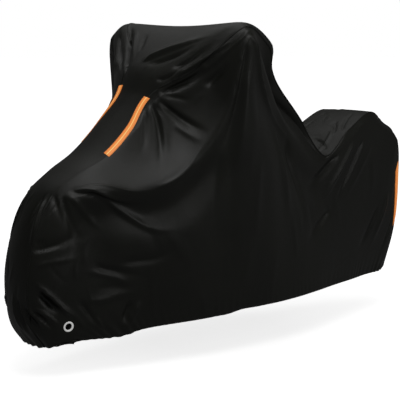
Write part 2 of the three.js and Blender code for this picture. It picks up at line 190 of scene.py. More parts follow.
# One row for each section along the cover, whose outline is hem, crest, shoulder, middle and back down. sag sinks
# the cloth between shoulder and crest, tuck draws it in under the crest, belly bows it out above the hem, crown
# lifts the middle line, and turn carries the left end of the high top back. These and the corners are in
# millimetres. ease and bend soften the shoulder and the crest, and the last two are the places of the sewn seams
# across the cover.
SECTIONS = (
    (-908, 58, 1, -890, 92, 6, -836, 122, 21, 0, 0, 0, 6, 0, 0.22, 0.4, 1, 1),  # front hem
    (-974, 62, 98, -939, 112, 93, -771, 136, 25, 0, 0, 4, 14, 0, 0.22, 0.4, 1, 1),  # front low
    (-993, 66, 268, -953, 124, 258, -701, 152, 29, 0, 4, 8, 16, 0, 0.22, 0.4, 1, 1),  # nose
    (-954, 68, 433, -920, 128, 401, -636, 172, 35, 0, 8, 8, 14, 0, 0.22, 0.36, 1, 1),  # nose top
    (-876, 70, 543, -848, 132, 527, -576, 190, 40, 0, 22, 6, 10, 0, 0.22, 0.16, 1, 1),  # front bow
    (-768, 84, 617, -742, 180, 561, -506, 207, 43, 4, 28, 6, 8, 0, 0.24, 0.06, 1, 1),  # slope low
    (-656, 102, 681, -612, 226, 555, -426, 226, 46, 8, 30, 6, 12, 0, 0.24, 0.06, 0.95, 1),  # strip end
    (-548, 112, 775, -476, 266, 587, -346, 244, 49, 18, 26, 6, 16, 0, 0.26, 0.06, 0.86, 0.95),  # slope high
    (-460, 124, 878, -360, 290, 683, -276, 258, 53, 26, 22, 6, 16, 4, 0.3, 0.07, 0.71, 0.61),  # neck
    (-386, 196, 991, -282, 322, 843, -221, 266, 55, 26, 10, 8, 34, 14, 0.32, 0.07, 1.08, 0.5),  # block face
    (-212, 308, 1136, -228, 374, 1077, -156, 272, 58, 0, 4, 8, -34, 22, 0.16, 0.07, 1.3, 0.9),  # peak
    (-16, 296, 1069, -144, 350, 1023, -76, 277, 60, 26, 14, 8, 0, 20, 0.1, 0.07, 1.14, 1),  # ear
    (28, 270, 965, -54, 316, 938, 14, 280, 61, 36, 20, 8, 8, 12, 0.12, 0.07, 1, 1),  # ear foot
    (164, 186, 893, 64, 262, 828, 114, 276, 62, 38, 22, 8, 16, 4, 0.12, 0.07, 1, 1),  # back fall
    (309, 160, 773, 209, 226, 688, 224, 265, 63, 20, 18, 8, 16, 0, 0.12, 0.07, 1, 1),  # dip front
    (448, 170, 601, 369, 194, 581, 334, 245, 63, 0, 6, 8, 2, 0, 0.08, 0.07, 1, 1),  # dip
    (614, 150, 701, 564, 170, 641, 464, 214, 63, 0, 0, 8, 10, 0, 0.08, 0.07, 1, 1),  # rear rise
    (768, 136, 769, 761, 149, 738, 604, 184, 62, 0, 0, 8, 6, 0, 0.08, 0.07, 1, 1),  # tail peak
    (869, 126, 719, 868, 141, 693, 659, 170, 61, 0, 0, 8, 6, 0, 0.08, 0.07, 1, 1),  # tail top
    (968, 108, 657, 966, 135, 633, 714, 158, 61, 0, 0, 8, 8, 0, 0.08, 0.03, 1, 1),  # tail edge
    (992, 96, 478, 982, 132, 468, 784, 146, 60, 0, 0, 6, 12, 0, 0.1, 0.03, 1, 1),  # tail back
    (984, 92, 265, 970, 128, 258, 836, 138, 59, 0, 0, 4, 12, 0, 0.14, 0.12, 1, 1),  # rear low
    (936, 84, 83, 920, 110, 77, 879, 124, 59, 0, 0, 0, 8, 0, 0.14, 0.12, 1, 1),  # rear hem
)
LAST_SECTION = len(SECTIONS) - 1
SHOULDER_AT = 1.0  # places across the cover, counted from 0 on the middle line to the left hem
CREST_AT = 2.0
HEM_AT = 3.0
MIDDLE_EASE = 0.7
TUCK_AT = 2.17
TUCK_WIDTH = 0.12
HEM_DROP = 0.046  # the right hem hangs this much lower
HEM_DROP_X = -0.60  # about this x
HEM_DROP_REACH = 0.23  # and this widely
TURN_AT = 0.30  # the turn of a section is measured at this distance from the middle
HANDS = {-1: "left", 1: "right"}  # the two sides by their sign

section_scale = [1000] * SECTION_COLUMNS.index("ease") + [1] * 4  # millimetres are made metres
section_values = dict(zip(SECTION_COLUMNS, (np.array(SECTIONS) / section_scale).T))


def value_at(column, along):
    """One column at places along the cover: a Catmull-Rom curve through all sections, carried on past both ends."""
    knots = section_values[column]
    knots = np.concatenate([[2 * knots[0] - knots[1]], knots, [2 * knots[-1] - knots[-2]]])
    i = np.clip(np.floor(along).astype(int), 0, LAST_SECTION - 1)
    f = along - i
    a, b, c, d = knots[i], knots[i + 1], knots[i + 2], knots[i + 3]
    return 0.5 * (2 * b + (c - a) * f + (2 * a - 5 * b + 4 * c - d) * f**2 + (3 * b - a - 3 * c + d) * f**3)


def soft_ramp(x, ease):
    """0 below zero, the number itself above it, and a soft bend of size ease between the two."""
    return 0.5 * (x + np.sqrt(x * x + ease * ease))


def smooth_step(x):
    """0 up to x = 0, 1 from x = 1, and an even S between the two."""
    t = np.clip(x, 0.0, 1.0)
    return t * t * (3 - 2 * t)


def unit(vectors):
    """The same directions with length one."""
    return vectors / np.maximum(np.linalg.norm(vectors, axis=-1, keepdims=True), 1e-12)


def corner(part, side, along):
    """A corner of the section outline, on the left side (side -1) or the right side (side +1): carried back or
    forward by its share of the turn, and at the right hem lowered by a bell about one x."""
    half = value_at(part + "_y", along)
    turned = value_at("turn", along) * half / TURN_AT
    height = value_at(part + "_z", along)
    if part == "hem" and side > 0:
        height = height - HEM_DROP * np.exp(-(((value_at("hem_x", along) - HEM_DROP_X) / HEM_DROP_REACH) ** 2))
    return np.stack([value_at(part + "_x", along) - side * turned, side * half, height], -1)


def middle(along):
    """The middle line: between the two shoulders, lifted by the crown square to the shoulder line."""
    step = 1e-3
    run_x = value_at("shoulder_x", along + step) - value_at("shoulder_x", along - step)
    run_z = value_at("shoulder_z", along + step) - value_at("shoulder_z", along - step)
    lift = value_at("crown", along) / np.hypot(run_x, run_z)
    x = value_at("shoulder_x", along) - run_z * lift
    return np.stack([x, np.zeros_like(x), value_at("shoulder_z", along) + run_x * lift], -1)


def outline(along, across):
    """The section outline hem, crest, shoulder, middle, shoulder, crest, hem, each corner rounded by a soft ramp.
    across runs from -3 at the right hem over 0 in the middle to +3 at the left hem."""
    ease = value_at("ease", along)
    corners = [corner(part, 1, along) for part in ("hem", "crest", "shoulder")]
    corners.append(middle(along))
    corners += [corner(part, -1, along) for part in ("shoulder", "crest", "hem")]
    bend = value_at("bend", along)
    eases = [0, bend, ease, MIDDLE_EASE, ease, bend]
    point = corners[0].copy()
    before = np.zeros_like(point)
    for i, soft in enumerate(eases):
        run = corners[i + 1] - corners[i]
        reach = across + HEM_AT - i
        reach = reach if i == 0 else soft_ramp(reach, soft)
        point = point + (run - before) * reach[..., None]
        before = run
    return point


def outward(surface, along, across):
    """The outward direction: the cross product of the runs across and along the surface."""
    step = 2e-3
    run_along = surface(along + step, across) - surface(along - step, across)
    run_across = surface(along, across + step) - surface(along, across - step)
    return unit(np.cross(run_across, run_along))


def draped(along, across):
    """The outline moved outward by the belly and inward by the sag and the tuck of its section."""
    out = np.abs(across)
    belly = np.sin(np.pi * np.clip(out - CREST_AT, 0, 1))
    sag = np.sin(np.pi * np.clip(out - SHOULDER_AT, 0, 1))
    tuck = np.exp(-(((out - TUCK_AT) / TUCK_WIDTH) ** 2))
    height = value_at("belly", along) * belly - value_at("tuck", along) * tuck - value_at("sag", along) * sag
    return outline(along, across) + outward(outline, along, across) * height[..., None]


# One row for each fold: a smooth line over three places on the cloth, each given along and then across. Its half
# width goes from the first to the last number in millimetres, its height in millimetres is negative in a trough, and
# lean makes the side to the right of its way steeper and the other side broader.
FOLDS = (
    (8.98, -0.06, 9.28, 0.36, 9.67, 0.96, 11, 13, 16, 0.6),  # upper lip at the neck
    (8.93, 0.12, 9.17, 0.53, 9.45, 0.84, 8, 9, -12, -0.3),  # trough under the upper lip
    (8.96, 0.77, 9.23, 0.96, 9.65, 1.06, 8, 9, -13, -0.4),  # second trough at the neck
    (8.60, 0.62, 8.72, 0.81, 9.07, 0.95, 7, 7, -8, -0.3),  # small trough at the neck
    (8.63, 0.97, 9.25, 1.13, 9.81, 1.56, 10, 11, 14, 0.5),  # main lip at the neck
    (8.25, 0.93, 8.77, 1.14, 9.41, 1.34, 9, 11, -22, -0.4),  # main trough at the neck
    (9.05, 1.24, 9.40, 1.41, 9.69, 1.62, 11, 9, 8, 0.4),  # third ridge at the neck
    (8.99, 1.45, 9.23, 1.55, 9.49, 1.67, 11, 11, -11, -0.3),  # third trough at the neck
    (8.23, 0.99, 8.45, 1.20, 8.63, 1.44, 6, 10, -6, -0.3),  # level trough at the neck
    (8.12, 0.98, 8.18, 1.43, 8.41, 1.93, 8, 16, -14, -0.3),  # trough over the slope
    (7.97, 1.38, 8.04, 1.67, 8.21, 1.95, 12, 14, 4, 0.2),  # ridge over the slope
    (7.92, 0.89, 7.60, 1.28, 6.82, 1.77, 7, 8, -11, 0.3),  # down fold at the neck
    (7.91, 1.06, 7.69, 1.37, 7.18, 1.68, 7, 9, 6, 0.4),  # ridge of the down fold
    (7.75, 0.88, 7.28, 1.14, 6.71, 1.43, 7, 9, -8, 0.2),  # inner down fold
    (7.96, 0.98, 7.92, 1.17, 7.76, 1.35, 4, 5, -3, 0),  # fine down fold
    (9.69, -0.41, 9.47, -0.36, 9.21, -0.28, 7, 8, -5, 0),  # soft fold on the face
    (9.90, 1.91, 9.59, 2.09, 8.74, 2.15, 11, 28, -14, 0.4),  # shaded valley
    (10.03, 2.09, 9.81, 2.23, 9.48, 2.44, 12, 24, 6, 0),  # light streak
    (11.36, 2.02, 13.72, 1.25, 14.97, 1.39, 9, 12, -24, 0.3),  # valley behind the peak
    (12.80, 2.12, 13.01, 2.32, 13.33, 2.63, 14, 30, 12, 0),  # drape behind the peak
    (13.48, 2.04, 13.80, 2.26, 14.16, 2.61, 12, 28, -12, 0),  # valley behind that drape
    (8.78, 2.15, 8.29, 2.33, 7.83, 2.64, 18, 34, -6, 0),  # flank valley
    (11.03, 2.36, 10.75, 2.57, 10.77, 2.81, 18, 36, 5, 0),  # flank rise
    (4.30, 1.56, 5.38, 2.16, 7.02, 2.31, 8, 20, 13, 0.4),  # front bow ridge
    (4.36, 1.47, 4.96, 2.02, 6.30, 2.07, 7, 12, -16, -0.5),  # front bow shade
    (4.22, 1.36, 3.87, 1.97, 3.82, 2.22, 9, 14, -8, -0.3),  # spike one
    (4.21, 1.58, 4.28, 2.09, 4.65, 2.26, 7, 9, 6, 0.4),  # spike ridge
    (4.12, 0.97, 3.78, 1.66, 3.59, 1.96, 8, 10, -6, -0.2),  # spike two
    (4.12, 0.76, 3.26, 0.88, 2.43, 1.03, 7, 10, 9, 0.3),  # nose edge
    (4.07, 0.63, 3.54, 0.59, 3.11, 0.47, 5, 7, -6, -0.2),  # nose crest trough
    (2.79, 1.05, 2.88, 1.35, 3.01, 1.66, 6, 6, -5, -0.3),  # nose lens
    (2.64, 0.91, 3.02, 1.82, 4.14, 2.28, 8, 17, -12, 0.5),  # nose dent
    (2.33, 1.17, 2.76, 1.94, 3.88, 2.35, 5, 10, 4, 0.2),  # nose swell
    (4.44, 2.51, 5.54, 2.51, 6.64, 2.46, 10, 14, -9, 0.2),  # flank wedge
    (4.34, 2.77, 3.82, 2.84, 3.17, 2.89, 7, 9, -12, 0.2),  # hem pleat
    (4.76, 2.79, 4.14, 2.87, 3.39, 2.95, 8, 9, 9, 0.2),  # hem pleat ridge
    (16.74, 2.08, 16.32, 2.20, 15.63, 2.38, 6, 7, -15, 0.4),  # tail crease
    (15.46, 2.40, 14.98, 2.48, 14.14, 2.66, 11, 17, -12, 0),  # tail crease low
    (16.41, 2.01, 15.96, 2.14, 15.02, 2.34, 8, 11, 9, -0.3),  # tail ridge
    (17.24, 2.13, 16.71, 2.28, 15.94, 2.42, 8, 10, 3, 0),  # tail ridge behind
    (15.83, 2.02, 15.25, 2.07, 14.39, 2.27, 10, 20, -16, 0),  # dip hollow
    (19.16, 2.35, 19.24, 2.54, 18.76, 2.83, 8, 12, 7, 0),  # rear ridge
    (18.48, 2.49, 18.21, 2.66, 17.05, 2.83, 8, 12, -8, 0),  # rear trough
    (20.33, 2.28, 20.47, 2.46, 20.11, 2.80, 6, 9, -6, 0),  # rear trough behind
    (2.02, 1.25, 1.78, 2.23, 1.64, 2.71, 7, 8, 12, 0.4),  # nose ridge
    (1.82, 1.50, 1.69, 1.98, 1.62, 2.25, 14, 12, -20, 0),  # nose side hollow
    (1.42, 1.18, 1.38, 1.94, 1.13, 2.34, 6, 7, 9, -0.4),  # ridge at the eyelet
    (1.52, 0.51, 1.09, 0.95, 0.52, 1.34, 6, 7, 9, 0),  # front edge ridge
    (1.45, 0.70, 1.14, 1.27, 0.77, 1.86, 6, 6, -9, 0),  # front edge trough
    (3.81, 2.41, 4.20, 2.53, 5.62, 2.64, 10, 13, -9, -0.3),  # flank trough
    (3.21, 2.33, 4.01, 2.56, 4.89, 2.67, 8, 10, 4, 0),  # flank ridge
    (3.01, 2.48, 3.96, 2.64, 4.77, 2.68, 9, 10, -3, 0),  # low flank trough
    (2.52, 2.47, 3.61, 2.68, 5.13, 2.73, 10, 11, 7, 0.3),  # low flank ridge
    (2.38, 2.40, 2.32, 2.58, 2.08, 2.80, 10, 8, -9, 0),  # hollow behind the eyelet
    (2.42, 2.68, 2.35, 2.76, 2.23, 2.88, 5, 5, 4, 0),  # small ridge by the hem
    (9.90, -0.83, 9.27, -0.63, 8.50, -0.35, 7, 8, -20, 0.4),  # ear fold
    (9.75, -1.05, 9.27, -0.88, 8.50, -0.43, 6, 7, -16, 0),  # ear fold outer
    (9.77, -0.67, 9.39, -0.53, 9.02, -0.36, 6, 7, 6, 0.4),  # ear ridge
    (15.35, 0.75, 15.55, 0.35, 15.62, -0.10, 7, 8, -8, 0.3),  # rear top fold
    (15.75, 0.60, 16.05, 0.45, 16.35, 0.10, 7, 8, -7, 0.2),  # rear top fold behind
    (15.20, 0.50, 15.70, 0.55, 16.20, 0.35, 7, 8, 6, 0.3),  # rear top ridge
    (15.90, 0.85, 16.30, 0.60, 16.90, 0.50, 7, 8, -5, 0),  # rear side fold
    (9.93, 1.78, 11.26, 2.08, 14.38, 2.02, 7, 8, 12, -0.3),  # peak ridge
    (9.95, -1.50, 9.62, -1.63, 8.93, -0.92, 7, 6, 7, 0),  # side swell
    (1.48, 0.85, 1.22, 1.54, 0.98, 2.12, 6, 7, 9, 0),  # second front ridge
    (1.43, 1.08, 1.23, 1.76, 0.94, 2.23, 6, 6, -8, 0),  # second front trough
    (1.70, 0.07, 1.24, 0.11, 0.64, 0.37, 6, 7, 8, 0),  # outer front ridge
    (1.63, 0.31, 1.19, 0.50, 0.54, 0.92, 6, 6, -8, 0),  # outer front trough
    (4.48, 1.39, 5.43, 1.86, 6.42, 1.97, 6, 7, 6, 0),  # slope rim
    (6.37, 1.97, 7.37, 1.98, 8.28, 1.91, 7, 7, 6, 0),  # slope rim above
)
# Small creases that are too many to place one by one: count of them at random places between two places along
# and two across, on one or both sides, in metres. heading is 0 along the cover and 90 across it, in degrees.
CREASES = (
    # from along, to along, from across, to across, sides, count, length, half width, height, heading, spread
    (0.5, 3.9, -0.9, 1.7, 1, 22, 0.080, 0.006, 0.0022, 5, 25),  # nose front
    (1.0, 4.6, 1.4, 2.9, 2, 20, 0.090, 0.007, 0.0030, 60, 70),  # nose side
    (7.9, 9.4, 0.7, 1.9, 2, 12, 0.070, 0.006, 0.0022, 40, 30),  # neck
    (8.7, 9.8, -0.9, 0.7, 1, 8, 0.090, 0.008, 0.0014, 30, 40),  # face
    (8.9, 10.8, 1.1, 2.1, 2, 10, 0.060, 0.006, 0.0025, 60, 40),  # peak ends
    (15.1, 17.3, -0.8, 0.9, 1, 18, 0.070, 0.006, -0.0032, 20, 80),  # rear top
    (5.0, 18.0, 2.25, 2.9, 2, 26, 0.220, 0.018, 0.0022, 90, 22),  # flank
    (17.3, 20.5, 0.0, 2.4, 2, 12, 0.080, 0.007, 0.0022, 30, 60),  # tail
)
CREASE_SEED = 11
CREASE_LENGTHS = (0.6, 1.3)  # each crease is longer or shorter by a random factor between these
CREASE_WIDTHS = (0.7, 1.2)  # so too its half width
CREASE_DEPTHS = (0.4, 1.0)  # and its height
CREASE_BOW = 0.25  # its middle lies off the straight line by up to this share of half its length
CREASE_LEAN = 0.4
REPEATED_FROM = 0.65  # folds that lie wholly beyond this place across are repeated on the right side
FAR_SIDE_SHIFT = 0.15  # the right side's folds lie this much further back
FAR_SIDE_DEPTH = 0.8  # and are shallower
FOLD_STEPS = 14
FOLD_REACH = 3.2  # a fold is worked out this many half widths away from its line
FOLD_POWER = 1.7  # how round the top of a fold is, from 1 for a sharp crease to 2 for a soft one
FOLD_FADE_IN = 0.30  # the shares of its length over which a fold rises and dies away
FOLD_FADE_OUT = 0.5


def fold_lines_of(numbers):
    """The places of each fold's line: a quadratic curve through its first, middle and last place."""
    s = np.linspace(0, 1, FOLD_STEPS + 1)
    first, mid, last = (1 - s) * (1 - 2 * s), 4 * s * (1 - s), s * (2 * s - 1)
    along = numbers[:, [0]] * first + numbers[:, [2]] * mid + numbers[:, [4]] * last
    across = numbers[:, [1]] * first + numbers[:, [3]] * mid + numbers[:, [5]] * last
    return draped(along, across)


def scattered_creases():
    """Fold rows for the small creases: a seeded random place, heading, side and depth for each."""
    chance = np.random.default_rng(CREASE_SEED)
    rows = []
    for along_a, along_b, across_a, across_b, sides, count, length, width, height, heading, spread in CREASES:
        for _ in range(count):
            along = chance.uniform(along_a, along_b)
            across = chance.uniform(across_a, across_b) * (chance.choice([-1, 1]) if sides == 2 else 1)
            place = np.array([along]), np.array([across])
            step = 1e-2
            per_along = np.linalg.norm(draped(place[0] + step, place[1]) - draped(*place)) / step
            per_across = np.linalg.norm(draped(place[0], place[1] + step) - draped(*place)) / step
            way = math.radians(heading + chance.uniform(-spread, spread))
            half = 0.5 * length * chance.uniform(*CREASE_LENGTHS)
            run = half * math.cos(way) / per_along, half * math.sin(way) / per_across * chance.choice([-1, 1])
            bow = chance.uniform(-CREASE_BOW, CREASE_BOW)
            rows.append([
                along - run[0], across - run[1], along + bow * run[1], across - bow * run[0],
                along + run[0], across + run[1],
                width * chance.uniform(*CREASE_WIDTHS), width * chance.uniform(*CREASE_WIDTHS),
                height * chance.uniform(*CREASE_DEPTHS) * chance.choice([-1, 1, 1]),
                chance.uniform(-CREASE_LEAN, CREASE_LEAN),
            ])
    return np.array(rows)


fold_numbers = np.array(FOLDS) / ([1] * 6 + [1000] * 3 + [1])  # millimetres are made metres
repeated = fold_numbers[np.abs(fold_numbers[:, [1, 3, 5]]).min(1) > REPEATED_FROM]
repeated = repeated * [1, -1, 1, -1, 1, -1, 1, 1, FAR_SIDE_DEPTH, -1]
repeated[:, [0, 2, 4]] += FAR_SIDE_SHIFT
fold_numbers = np.concatenate([fold_numbers, repeated, scattered_creases()])
fold_lines = fold_lines_of(fold_numbers)


def fold_height(points, facing):
    """How far all the folds lift or sink the cloth: height times exp(-(distance / half width) ** power) about the
    fold's line, with its own half width on each side of the line, dying away towards both its ends."""
    flat, flat_facing = points.reshape(-1, 3), facing.reshape(-1, 3)
    height = np.zeros(len(flat))
    for line, numbers in zip(fold_lines, fold_numbers):
        first_width, last_width, depth, lean = numbers[6:]
        reach = FOLD_REACH * max(first_width, last_width) * (1 + abs(lean))
        near = np.flatnonzero(np.all((flat > line.min(0) - reach) & (flat < line.max(0) + reach), axis=1))
        if not len(near):
            continue
        here = flat[near]
        runs = np.diff(line, axis=0)
        k = np.einsum("nsk,sk->ns", here[:, None] - line[None, :-1], runs) / np.einsum("sk,sk->s", runs, runs)
        k = np.clip(k, 0, 1)
        away = here[:, None] - line[None, :-1] - k[..., None] * runs
        every = np.arange(len(here))
        best = np.linalg.norm(away, axis=-1).argmin(1)
        away, run = away[every, best], runs[best]
        share = (best + k[every, best]) / FOLD_STEPS
        right = np.einsum("nk,nk->n", away, np.cross(run, flat_facing[near])) > 0
        width = (first_width + (last_width - first_width) * share) * np.where(right, 1 - lean, 1 + lean)
        fade = smooth_step(share / FOLD_FADE_IN) * smooth_step((1 - share) / FOLD_FADE_OUT)
        height[near] += depth * fade * np.exp(-((np.linalg.norm(away, axis=-1) / width) ** FOLD_POWER))
    return height.reshape(points.shape[:-1])


# The hem is gathered at the front and at the rear, where an elastic draws it in: ripples of this height along the
# hem, which die away upwards over the reach. One row for each place along the side hems.
GATHERS = (
    # along, height
    (0.0, 0.0036), (2.6, 0.0036), (4.6, 0.0016), (6.0, 0.0006), (16.5, 0.0004), (18.5, 0.0012), (22.0, 0.0026),
)
GATHER_REACH = 0.065
GATHER_LENGTH = 0.031  # from one ripple to the next
GATHER_SHIFT = 0.4  # the ripples of the right hem are those of the left hem this much further on
RIPPLE_WANDER = ((1.9, 17.0, 0.0), (1.1, 41.0, 1.0))  # slow waves of the phase: size, radians to the metre, start
RIPPLE_SWELL = (0.35, 29.0, 2.0)  # and of the height
HEM_STEP = 0.1  # the cloth beside a hem is measured over this part of a place
HEM_SAMPLES = 900  # along a side hem
END_SAMPLES = 400  # and across an end


def run_lengths(points, axis=0):
    """How far each point of a line or a grid is from the first one: the sum of the steps along one of its ways."""
    steps = np.linalg.norm(np.diff(points, axis=axis), axis=-1)
    start = np.zeros_like(np.take(steps, [0], axis))
    return np.concatenate([start, np.cumsum(steps, axis=axis)], axis=axis)


hem_places = np.linspace(0, LAST_SECTION, HEM_SAMPLES)
hem_line = draped(hem_places, np.full_like(hem_places, HEM_AT))
hem_runs = run_lengths(hem_line)
hem_inside = draped(hem_places, np.full_like(hem_places, HEM_AT - HEM_STEP))
side_spans = np.linalg.norm(hem_inside - hem_line, axis=1) / HEM_STEP
end_gathers = []
for end_place, inner_place in ((0.0, HEM_STEP), (float(LAST_SECTION), LAST_SECTION - HEM_STEP)):
    end_across = np.linspace(-HEM_AT, HEM_AT, END_SAMPLES)
    end_line = draped(np.full_like(end_across, end_place), end_across)
    end_inside = draped(np.full_like(end_across, inner_place), end_across)
    end_span = np.linalg.norm(end_inside - end_line, axis=1) / HEM_STEP
    end_gathers.append((end_place, end_across, run_lengths(end_line), end_span))


def ripple(run):
    """An uneven row of ripples at lengths along a hem: a sine whose phase and height wander slowly."""
    turns = 2 * np.pi * run / GATHER_LENGTH
    for size, rate, start in RIPPLE_WANDER:
        turns = turns + size * np.sin(rate * run + start)
    size, rate, start = RIPPLE_SWELL
    return np.sin(turns) * ((1 - size) + size * np.sin(rate * run + start))


def gathered(along, across):
    """How far the gathers lift the cloth: ripples times exp(-(distance / reach) ** 2) from the side hems and from
    both end hems."""
    size = np.interp(along, [row[0] for row in GATHERS], [row[1] for row in GATHERS])
    away = (HEM_AT - np.abs(across)) * np.interp(along, hem_places, side_spans)
    run = np.interp(along, hem_places, hem_runs) + np.where(across > 0, 0.0, GATHER_SHIFT)
    height = size * ripple(run) * np.exp(-((away / GATHER_REACH) ** 2))
    for end_place, end_across, end_run, end_span in end_gathers:
        end_away = np.abs(along - end_place) * np.interp(across, end_across, end_span)
        end_ripple = ripple(np.interp(across, end_across, end_run) + end_place)
        share = smooth_step(away / GATHER_REACH)
        height = height + GATHERS[0][1] * share * end_ripple * np.exp(-((end_away / GATHER_REACH) ** 2))
    return height


EYELET_ALONG = 1.34
EYELET_ACROSS = 2.43
EYELET_FLAT = 0.026  # the cloth lies flat this far round an eyelet
EYELET_BLEND = 0.060


def eyelet_place(side):
    """The middle of the eyelet on one side and the direction in which it faces."""
    along = np.array([EYELET_ALONG])
    across = np.array([-side * EYELET_ACROSS])
    return draped(along, across)[0], outward(draped, along, across)[0]


def cloth(along, across, lift=0.0):
    """The finished cloth: draped, folded, gathered, pressed flat round the eyelets, and lifted outward."""
    along, across = np.broadcast_arrays(along, across)
    inside_along = np.clip(along, 0, LAST_SECTION)
    inside_across = np.clip(across, -HEM_AT, HEM_AT)
    point = draped(inside_along, inside_across)
    facing = outward(draped, inside_along, inside_across)
    height = fold_height(point, facing) + gathered(inside_along, inside_across)
    point = point + facing * height[..., None]
    for side in HANDS:
        centre, eyelet_facing = eyelet_place(side)
        blend = (EYELET_BLEND - np.linalg.norm(point - centre, axis=-1)) / (EYELET_BLEND - EYELET_FLAT)
        point = point - eyelet_facing * ((point - centre) @ eyelet_facing * smooth_step(blend))[..., None]
    return point + facing * np.broadcast_to(lift, height.shape)[..., None]


EVEN_SAMPLES = 3000
EVEN_SOFTNESS = 0.04  # a closer stretch starts and ends over this share of the whole


def even_places(curve, low, high, count, weights):
    """count places from low to high that are evenly far apart along a curve of points, and closer together where
    a row of weights (from, to, extra) says so, with a soft start and end."""
    fine = np.linspace(low, high, EVEN_SAMPLES)
    soft = EVEN_SOFTNESS * (high - low)
    steps = np.linalg.norm(np.diff(curve(fine), axis=0), axis=1)
    between = 0.5 * (fine[1:] + fine[:-1])
    for start, end, extra in weights:
        inside = smooth_step((between - start) / soft + 1), smooth_step((end - between) / soft + 1)
        steps = steps * (1 + extra * inside[0] * inside[1])
    length = np.concatenate([[0], np.cumsum(steps)])
    return np.interp(np.linspace(0, length[-1], count), length, fine)


def spans_at(along, across):
    """How many metres of cloth one whole place across is: how far apart two points are, a step to either side."""
    step = 2e-2
    return np.linalg.norm(draped(along, across + step) - draped(along, across - step), axis=-1) / (2 * step)


ROWS_ALONG = 392
CLOTH_THICKNESS = 0.0012
HEM_TURN = 0.020  # the hem is turned in once by this much
LAP_WIDTH = 0.008
LAP_LIFT = 0.0016
# The turned hem, from the middle of the outer face round the edge and up inside: a share of the turn and how far
# in the cloth lies there.
HEM_ROUND = ((0.10, 0.0), (0.0, 0.0006), (-0.001, 0.0016), (0.10, 0.0024), (0.55, 0.0025), (1.0, 0.0025))
HEM_CLEAR = 0.12  # the other rows keep this share of a turn from the edge
HEM_TURN_FRONT, HEM_TURN_REAR = 0.20, 0.11  # the turn in places along the cover at its two ends
# The rows of points lie closer together from one place along to another, by this much extra.
CLOSER_ROWS = ((7.5, 9.8, 1.0), (0.4, 4.6, 0.5), (15.3, 17.0, 0.7))
CLOSER_ROWS_ACROSS = 1.5  # the rows are spaced on the line at this place across

rows_even = even_places(
    lambda t: draped(t, np.full_like(t, CLOSER_ROWS_ACROSS)), 0, LAST_SECTION, ROWS_ALONG, CLOSER_ROWS
)
hem_share, hem_depth = np.array(HEM_ROUND).T
rows_along = np.concatenate([
    (hem_share * HEM_TURN_FRONT)[:0:-1],
    rows_even[(rows_even > HEM_CLEAR * HEM_TURN_FRONT) & (rows_even < LAST_SECTION - HEM_CLEAR * HEM_TURN_REAR)],
    LAST_SECTION - hem_share[1:] * HEM_TURN_REAR,
])
rows_depth = np.concatenate([hem_depth[:0:-1], np.zeros(len(rows_along) - 2 * (len(HEM_ROUND) - 1)), hem_depth[1:]])


def sheet_piece(name, points, material, thickness):
    """A sheet from its grid of points on the outer face, with its own lengths in metres as UV and a real thickness
    that is added inwards."""
    lengths = np.stack([run_lengths(points, 0), run_lengths(points, 1)], -1)
    piece = new_piece(name, points, grid_faces(*points.shape[:2]), material, lengths)
    wall = piece.modifiers.new("thickness", "SOLIDIFY")
    wall.thickness = thickness
    wall.offset = -1.0
    return piece


def cloth_piece(name, across, lift, material):
    """A panel from its grid of places across on the rows along the cover, lifted outward and sunk by the turned hem."""
    return sheet_piece(name, cloth(rows_along[:, None], across, lift - rows_depth[:, None]), material, CLOTH_THICKNESS)


CLOTH_BLACK = (0.0074, 0.0080, 0.0044, 1.0)
CLOTH_ROUGHNESS = 0.44
WEAVE_COUNT = 1500.0  # threads to the metre
WEAVE_DEPTH = 0.06  # of the threads against the unevenness of the coat
COAT_SIZE = 38.0  # of the coat's unevenness and of its cloudiness, in turns to the metre
CLOUD_SIZE = 5.0
CLOUD_RANGE = (0.3, 0.7)  # of the noise, from no cloud to the thickest
CLOUD_ROUGHNESS = 0.05  # the clouds are rougher or smoother by this
CLOUD_SHADE = 0.2  # and paler or darker by this share

weave = bpy.data.node_groups.new("coated_weave", "ShaderNodeTree")
for output_name in ("Roughness", "Shade", "Height"):
    weave.interface.new_socket(output_name, in_out="OUTPUT", socket_type="NodeSocketFloat")
weave_place = add_node(weave, "TexCoord")
weave_split = add_node(weave, "SeparateXYZ", [(0, weave_place, "UV")])
weave_waves = []
for axis_name in ("X", "Y"):
    weave_turn = add_node(
        weave, "Math", [(0, weave_split, axis_name)], {1: math.pi * WEAVE_COUNT}, operation="MULTIPLY"
    )
    weave_waves.append(add_node(weave, "Math", [(0, weave_turn, 0)], operation="SINE"))
weave_threads = add_node(weave, "Math", [(0, weave_waves[0], 0), (1, weave_waves[1], 0)], operation="MULTIPLY")
weave_coat = add_node(weave, "TexNoise", [("Vector", weave_place, "Object")], {"Scale": COAT_SIZE, "Detail": 3.0})
weave_cloud = add_node(weave, "TexNoise", [("Vector", weave_place, "Object")], {"Scale": CLOUD_SIZE, "Detail": 2.0})
weave_rough = ranged(
    weave, weave_cloud, "Fac", *CLOUD_RANGE, CLOTH_ROUGHNESS - CLOUD_ROUGHNESS, CLOTH_ROUGHNESS + CLOUD_ROUGHNESS
)
weave_shade = ranged(weave, weave_cloud, "Fac", *CLOUD_RANGE, 1 - CLOUD_SHADE, 1 + CLOUD_SHADE)
weave_height = add_node(
    weave, "Math", [(0, weave_threads, 0), (2, weave_coat, "Fac")], {1: WEAVE_DEPTH}, operation="MULTIPLY_ADD"
)
feed(
    weave, weave.nodes.new("NodeGroupOutput"),
    ("Roughness", weave_rough, "Result"), ("Shade", weave_shade, "Result"), ("Height", weave_height, 0),
)

